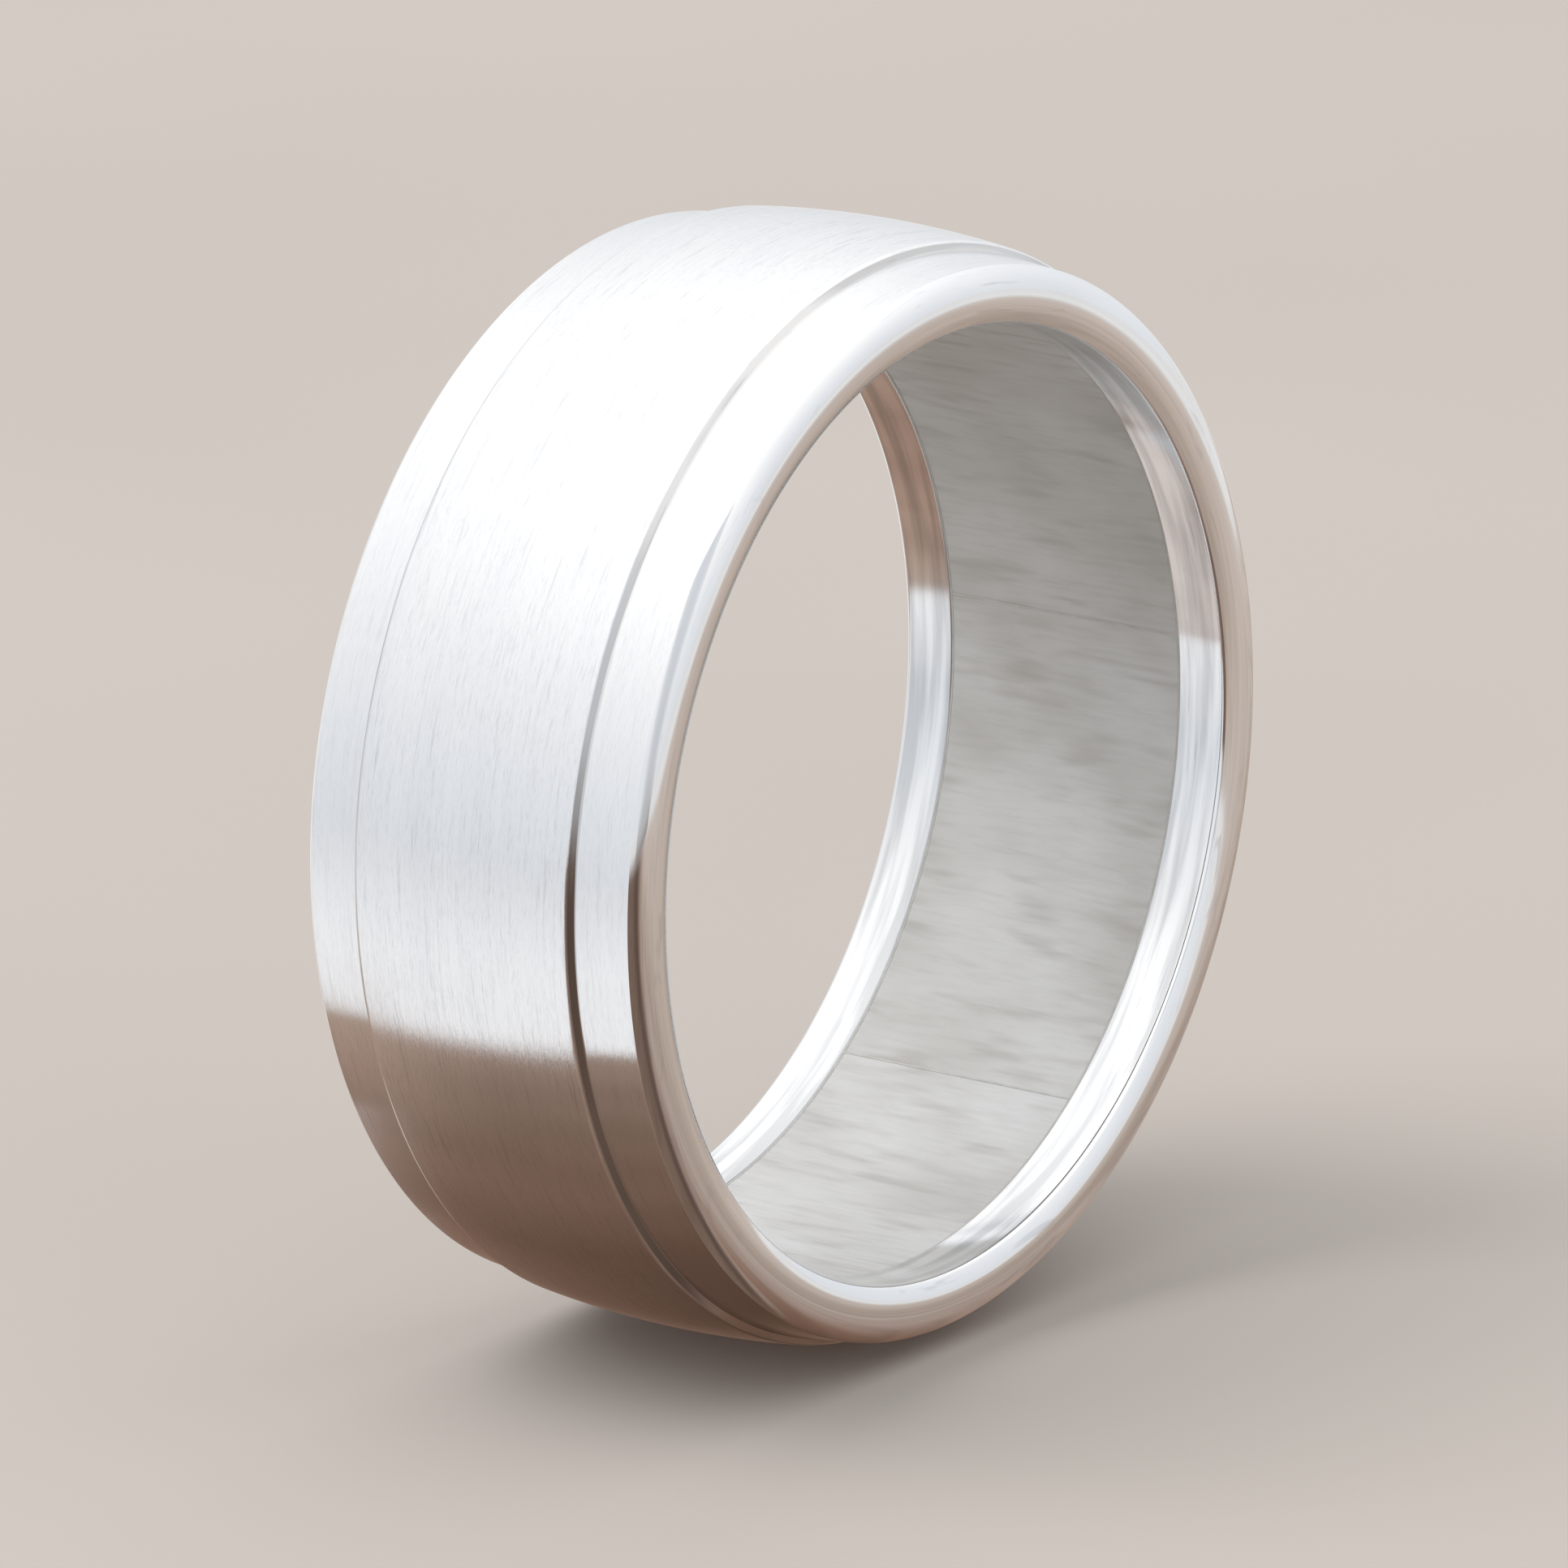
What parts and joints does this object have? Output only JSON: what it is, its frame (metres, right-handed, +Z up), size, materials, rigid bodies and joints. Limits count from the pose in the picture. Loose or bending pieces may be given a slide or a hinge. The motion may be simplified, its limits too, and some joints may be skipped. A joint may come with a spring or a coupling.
{
  "type": "ring",
  "caption": "Finger ring: a metal band with a brushed raised centre, stepped shoulders, domed polished rims and a pale antler lining set between two rails inside the bore.",
  "frame": {"origin": "centre of the finger bore, halfway along it, which is also the centre of the bounding box", "axes": "Y along the finger bore's axis, +Z up as the ring stands on its rim; the face towards -Y is the near one"},
  "size_m": [0.022, 0.008, 0.022],
  "materials": {
    "metal": "satin",
    "glue": "gloss",
    "antler": "satin"
  },
  "bodies": {
    "root": {"band": "metal", "glue_line": "glue", "antler_stave_1": "antler", "antler_stave_2": "antler", "antler_stave_3": "antler", "antler_stave_4": "antler", "antler_stave_5": "antler", "antler_stave_6": "antler"}
  },
  "joints": []
}
